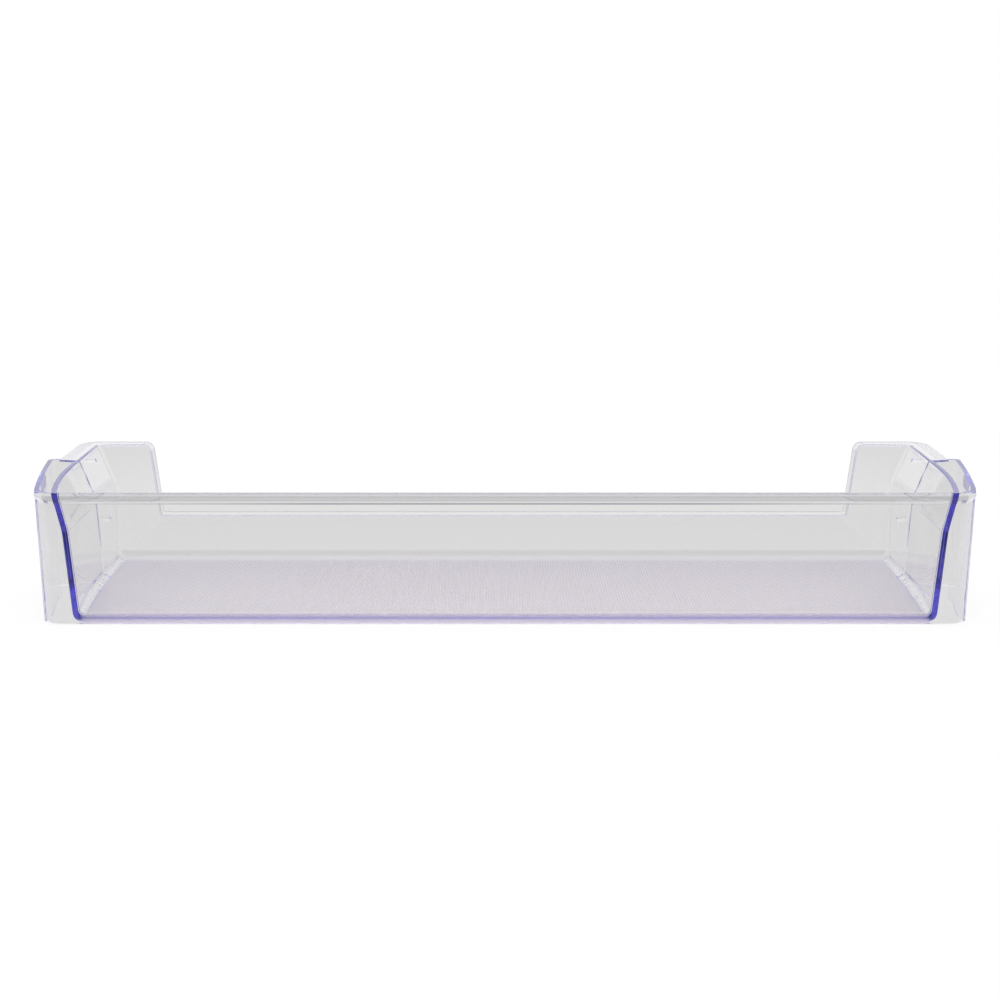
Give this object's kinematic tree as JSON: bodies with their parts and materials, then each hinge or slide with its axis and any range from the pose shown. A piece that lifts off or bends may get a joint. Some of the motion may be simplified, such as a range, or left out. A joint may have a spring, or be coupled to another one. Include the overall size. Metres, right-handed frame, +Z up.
{
  "type": "refrigerator door shelf",
  "caption": "Clear one-piece moulded shelf for a refrigerator door: open-topped tray with a tall front, hollow end cheeks, tall rear ears and a low back wall",
  "frame": {"origin": "centre of the bounding box at the level of the base the shelf stands on", "axes": "+X along the shelf to the right as seen from the front, +Y from the front towards the door, +Z up; the front face looks along -Y"},
  "size_m": [0.4938, 0.1478, 0.0687],
  "materials": {
    "clear_plastic": "clear moulded polystyrene with a violet tone at its edges"
  },
  "bodies": {
    "root": {"door_shelf": "clear_plastic"}
  },
  "joints": []
}
